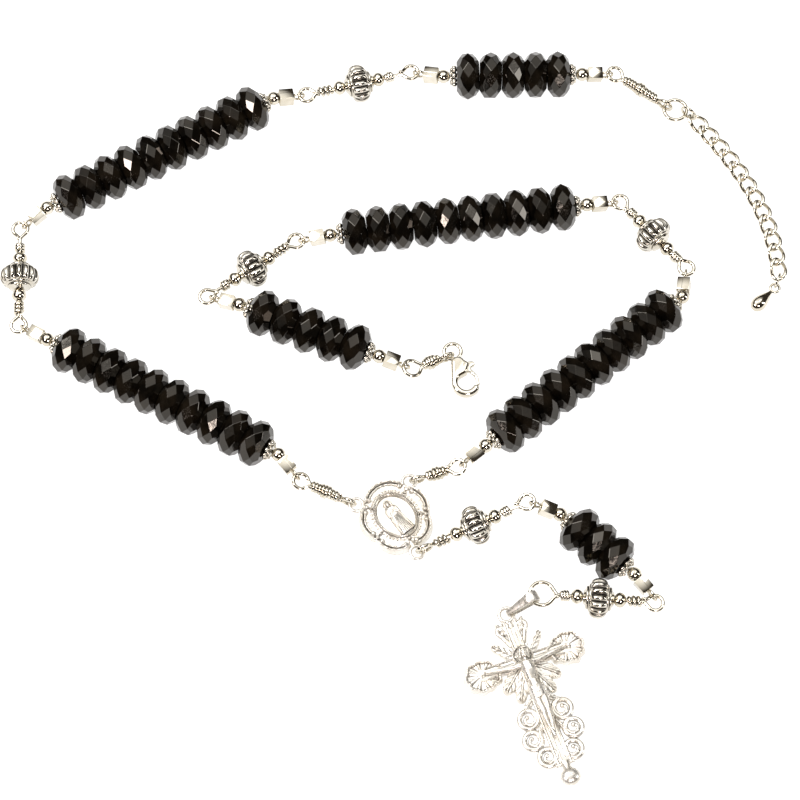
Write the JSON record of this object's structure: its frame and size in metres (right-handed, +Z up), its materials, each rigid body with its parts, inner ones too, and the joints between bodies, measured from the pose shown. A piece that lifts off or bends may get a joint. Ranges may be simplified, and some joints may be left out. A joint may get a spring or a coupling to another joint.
{
  "type": "rosary necklace",
  "caption": "Rosary necklace of faceted black beads and silver links with an oval centre medal, a filigree crucifix pendant, a lobster clasp and an extension chain.",
  "frame": {"origin": "the middle of the laid-out rosary's box, on the surface that it lies on", "axes": "+Z up; X to the right and Y away from a person looking at the laid-out rosary with the crucifix nearest"},
  "size_m": [0.1634, 0.1592, 0.01],
  "materials": {
    "black_glass": "polished faceted black glass",
    "bright_silver": "polished silver wire, balls, crimps, rings and chain",
    "oxidised_silver": "silver with blackened grooves",
    "cast_silver": "satin cast silver with darker recesses"
  },
  "bodies": {
    "medal": {"centre_medal": "cast_silver"},
    "left_connector": {"left_connector_wire": "bright_silver"},
    "decade_2": {"decade_2_wire": "bright_silver", "decade_2_beads": "black_glass"},
    "large_link_2": {"large_link_2_wire": "bright_silver", "large_link_2_beads": "oxidised_silver"},
    "decade_1": {"decade_1_wire": "bright_silver", "decade_1_beads": "black_glass"},
    "large_link_1": {"large_link_1_wire": "bright_silver", "large_link_1_beads": "oxidised_silver"},
    "half_decade_1": {"half_decade_1_wire": "bright_silver", "half_decade_1_beads": "black_glass"},
    "chain_connector": {"chain_connector_wire": "bright_silver"},
    "jump_ring": {"jump_ring": "bright_silver"},
    "chain_start_ring": {"chain_start_ring": "bright_silver"},
    "chain_link_1": {"chain_link_1": "bright_silver"},
    "chain_link_2": {"chain_link_2": "bright_silver"},
    "chain_link_3": {"chain_link_3": "bright_silver"},
    "chain_link_4": {"chain_link_4": "bright_silver"},
    "chain_link_5": {"chain_link_5": "bright_silver"},
    "chain_link_6": {"chain_link_6": "bright_silver"},
    "chain_link_7": {"chain_link_7": "bright_silver"},
    "chain_link_8": {"chain_link_8": "bright_silver"},
    "chain_link_9": {"chain_link_9": "bright_silver"},
    "chain_link_10": {"chain_link_10": "bright_silver"},
    "chain_link_11": {"chain_link_11": "bright_silver"},
    "chain_link_12": {"chain_link_12": "bright_silver"},
    "chain_end_ring": {"chain_end_ring": "bright_silver"},
    "chain_charm": {"chain_charm": "bright_silver"},
    "right_connector": {"right_connector_wire": "bright_silver"},
    "decade_3": {"decade_3_wire": "bright_silver", "decade_3_beads": "black_glass"},
    "large_link_3": {"large_link_3_wire": "bright_silver", "large_link_3_beads": "oxidised_silver"},
    "decade_4": {"decade_4_wire": "bright_silver", "decade_4_beads": "black_glass"},
    "large_link_4": {"large_link_4_wire": "bright_silver", "large_link_4_beads": "oxidised_silver"},
    "half_decade_2": {"half_decade_2_wire": "bright_silver", "half_decade_2_beads": "black_glass"},
    "clasp_connector": {"clasp_connector_wire": "bright_silver"},
    "clasp": {"clasp_body": "bright_silver", "clasp_pin": "bright_silver"},
    "lever": {"clasp_lever": "bright_silver"},
    "large_link_5": {"large_link_5_wire": "bright_silver", "large_link_5_beads": "oxidised_silver"},
    "pendant_string": {"pendant_string_wire": "bright_silver", "pendant_string_beads": "black_glass"},
    "large_link_6": {"large_link_6_wire": "bright_silver", "large_link_6_beads": "oxidised_silver"},
    "bail": {"pendant_bail": "bright_silver"},
    "crucifix": {"crucifix_cross": "cast_silver", "crucifix_figure": "cast_silver"}
  },
  "joints": [
    {"name": "left_connector_lift", "type": "hinge", "parent": "medal", "child": "left_connector", "pos_m": [-0.00913, -0.02139, 0.0017], "axis": [0.342, 0.9397, 0], "range_deg": [-30, 30]},
    {"name": "decade_2_lift", "type": "hinge", "parent": "left_connector", "child": "decade_2", "pos_m": [-0.01984, -0.01656, 0.0042], "axis": [-0.766, -0.6428, 0], "range_deg": [-20, 20]},
    {"name": "large_link_2_swing", "type": "hinge", "parent": "decade_2", "child": "large_link_2", "pos_m": [-0.07709, 0.01643, 0.0042], "axis": [0, 0, 1], "range_deg": [-4, 4]},
    {"name": "decade_1_lift", "type": "hinge", "parent": "large_link_2", "child": "decade_1", "pos_m": [-0.07652, 0.03954, 0.0042], "axis": [0.6428, -0.766, 0], "range_deg": [-20, 20]},
    {"name": "large_link_1_swing", "type": "hinge", "parent": "decade_1", "child": "large_link_1", "pos_m": [-0.01865, 0.07014, 0.0042], "axis": [0, 0, -1], "range_deg": [-4, 4]},
    {"name": "half_decade_1_lift", "type": "hinge", "parent": "large_link_1", "child": "half_decade_1", "pos_m": [0.00518, 0.07529, 0.0042], "axis": [0.2079, 0.9781, 0], "range_deg": [-20, 20]},
    {"name": "chain_connector_swing", "type": "hinge", "parent": "half_decade_1", "child": "chain_connector", "pos_m": [0.04698, 0.07519, 0.0042], "axis": [0, 0, 1], "range_deg": [-5, 5]},
    {"name": "jump_ring_swing", "type": "hinge", "parent": "chain_connector", "child": "jump_ring", "pos_m": [0.05978, 0.06804, 0.0015], "axis": [0, 0, -1], "range_deg": [-10, 10]},
    {"name": "chain_start_ring_lift", "type": "hinge", "parent": "jump_ring", "child": "chain_start_ring", "pos_m": [0.06256, 0.06692, 0.0021], "axis": [-0.5878, -0.809, 0], "range_deg": [-15, 15]},
    {"name": "chain_link_1_swing", "type": "hinge", "parent": "chain_start_ring", "child": "chain_link_1", "pos_m": [0.06334, 0.06631, 0.00145], "axis": [0, 0, 1], "range_deg": [-8, 8]},
    {"name": "chain_link_2_lift", "type": "hinge", "parent": "chain_link_1", "child": "chain_link_2", "pos_m": [0.06556, 0.0636, 0.00145], "axis": [0.7897, 0.6134, 0], "range_deg": [-12, 12]},
    {"name": "chain_link_3_swing", "type": "hinge", "parent": "chain_link_2", "child": "chain_link_3", "pos_m": [0.06771, 0.06083, 0.00145], "axis": [0, 0, -1], "range_deg": [-8, 8]},
    {"name": "chain_link_4_lift", "type": "hinge", "parent": "chain_link_3", "child": "chain_link_4", "pos_m": [0.06976, 0.05799, 0.00145], "axis": [-0.8344, -0.5512, 0], "range_deg": [-12, 12]},
    {"name": "chain_link_5_swing", "type": "hinge", "parent": "chain_link_4", "child": "chain_link_5", "pos_m": [0.07169, 0.05507, 0.00145], "axis": [0, 0, 1], "range_deg": [-8, 8]},
    {"name": "chain_link_6_lift", "type": "hinge", "parent": "chain_link_5", "child": "chain_link_6", "pos_m": [0.07347, 0.05206, 0.00145], "axis": [0.8873, 0.4612, 0], "range_deg": [-12, 12]},
    {"name": "chain_link_7_swing", "type": "hinge", "parent": "chain_link_6", "child": "chain_link_7", "pos_m": [0.07508, 0.04896, 0.00145], "axis": [0, 0, -1], "range_deg": [-8, 8]},
    {"name": "chain_link_8_lift", "type": "hinge", "parent": "chain_link_7", "child": "chain_link_8", "pos_m": [0.07651, 0.04576, 0.00145], "axis": [-0.9389, -0.3443, 0], "range_deg": [-12, 12]},
    {"name": "chain_link_9_swing", "type": "hinge", "parent": "chain_link_8", "child": "chain_link_9", "pos_m": [0.07771, 0.04247, 0.00145], "axis": [0, 0, 1], "range_deg": [-8, 8]},
    {"name": "chain_link_10_lift", "type": "hinge", "parent": "chain_link_9", "child": "chain_link_10", "pos_m": [0.07868, 0.03911, 0.00145], "axis": [0.9795, 0.2013, 0], "range_deg": [-12, 12]},
    {"name": "chain_link_11_swing", "type": "hinge", "parent": "chain_link_10", "child": "chain_link_11", "pos_m": [0.07938, 0.03568, 0.00145], "axis": [0, 0, -1], "range_deg": [-8, 8]},
    {"name": "chain_link_12_lift", "type": "hinge", "parent": "chain_link_11", "child": "chain_link_12", "pos_m": [0.07981, 0.03221, 0.00145], "axis": [-0.9994, -0.0349, 0], "range_deg": [-12, 12]},
    {"name": "chain_end_ring_lift", "type": "hinge", "parent": "chain_link_12", "child": "chain_end_ring", "pos_m": [0.07952, 0.02769, 0.0018], "axis": [0.9272, -0.3746, 0], "range_deg": [-30, 30]},
    {"name": "chain_charm_swing", "type": "hinge", "parent": "chain_end_ring", "child": "chain_charm", "pos_m": [0.07888, 0.02611, 0.0015], "axis": [0, 0, 1], "range_deg": [-40, 40]},
    {"name": "right_connector_lift", "type": "hinge", "parent": "medal", "child": "right_connector", "pos_m": [0.00458, -0.01656, 0.0017], "axis": [0.2079, -0.9781, 0], "range_deg": [-30, 30]},
    {"name": "decade_3_lift", "type": "hinge", "parent": "right_connector", "child": "decade_3", "pos_m": [0.01413, -0.01378, 0.0042], "axis": [-0.6018, 0.7986, 0], "range_deg": [-20, 20]},
    {"name": "large_link_3_swing", "type": "hinge", "parent": "decade_3", "child": "large_link_3", "pos_m": [0.06043, 0.02946, 0.0042], "axis": [0, 0, 1], "range_deg": [-6, 2]},
    {"name": "decade_4_lift", "type": "hinge", "parent": "large_link_3", "child": "decade_4", "pos_m": [0.04544, 0.04446, 0.0042], "axis": [-0.1392, 0.9903, 0], "range_deg": [-20, 20]},
    {"name": "large_link_4_swing", "type": "hinge", "parent": "decade_4", "child": "large_link_4", "pos_m": [-0.0204, 0.03568, 0.0042], "axis": [0, 0, -1], "range_deg": [-8, 8]},
    {"name": "half_decade_2_lift", "type": "hinge", "parent": "large_link_4", "child": "half_decade_2", "pos_m": [-0.03692, 0.02241, 0.0042], "axis": [0.309, 0.9511, 0], "range_deg": [-20, 20]},
    {"name": "clasp_connector_swing", "type": "hinge", "parent": "half_decade_2", "child": "clasp_connector", "pos_m": [0.0036, 0.00684, 0.0042], "axis": [0, 0, 1], "range_deg": [-12, 15]},
    {"name": "clasp_swing", "type": "hinge", "parent": "clasp_connector", "child": "clasp", "pos_m": [0.01196, 0.01174, 0.0015], "axis": [0, 0, -1], "range_deg": [-20, 20]},
    {"name": "lever_press", "type": "hinge", "parent": "clasp", "child": "lever", "pos_m": [0.01436, 0.00827, 0.0015], "axis": [0, 0, 1], "range_deg": [-18, 0], "stiffness_Nm_per_rad": 0.0005},
    {"name": "large_link_5_lift", "type": "hinge", "parent": "medal", "child": "large_link_5", "pos_m": [0.00601, -0.03148, 0.00195], "axis": [0.3746, -0.9272, 0], "range_deg": [-30, 30]},
    {"name": "pendant_string_lift", "type": "hinge", "parent": "large_link_5", "child": "pendant_string", "pos_m": [0.02812, -0.02376, 0.00645], "axis": [0.309, 0.9511, 0], "range_deg": [-20, 20]},
    {"name": "large_link_6_swing", "type": "hinge", "parent": "pendant_string", "child": "large_link_6", "pos_m": [0.05149, -0.04369, 0.0042], "axis": [0, 0, 1], "range_deg": [0, 15]},
    {"name": "bail_lift", "type": "hinge", "parent": "large_link_6", "child": "bail", "pos_m": [0.02693, -0.04283, 0.004], "axis": [-0.4384, 0.8988, 0], "range_deg": [-20, 20]},
    {"name": "crucifix_swing", "type": "hinge", "parent": "bail", "child": "crucifix", "pos_m": [0.02219, -0.04515, 0.0011], "axis": [0, 0, 1], "range_deg": [-15, 12]}
  ]
}
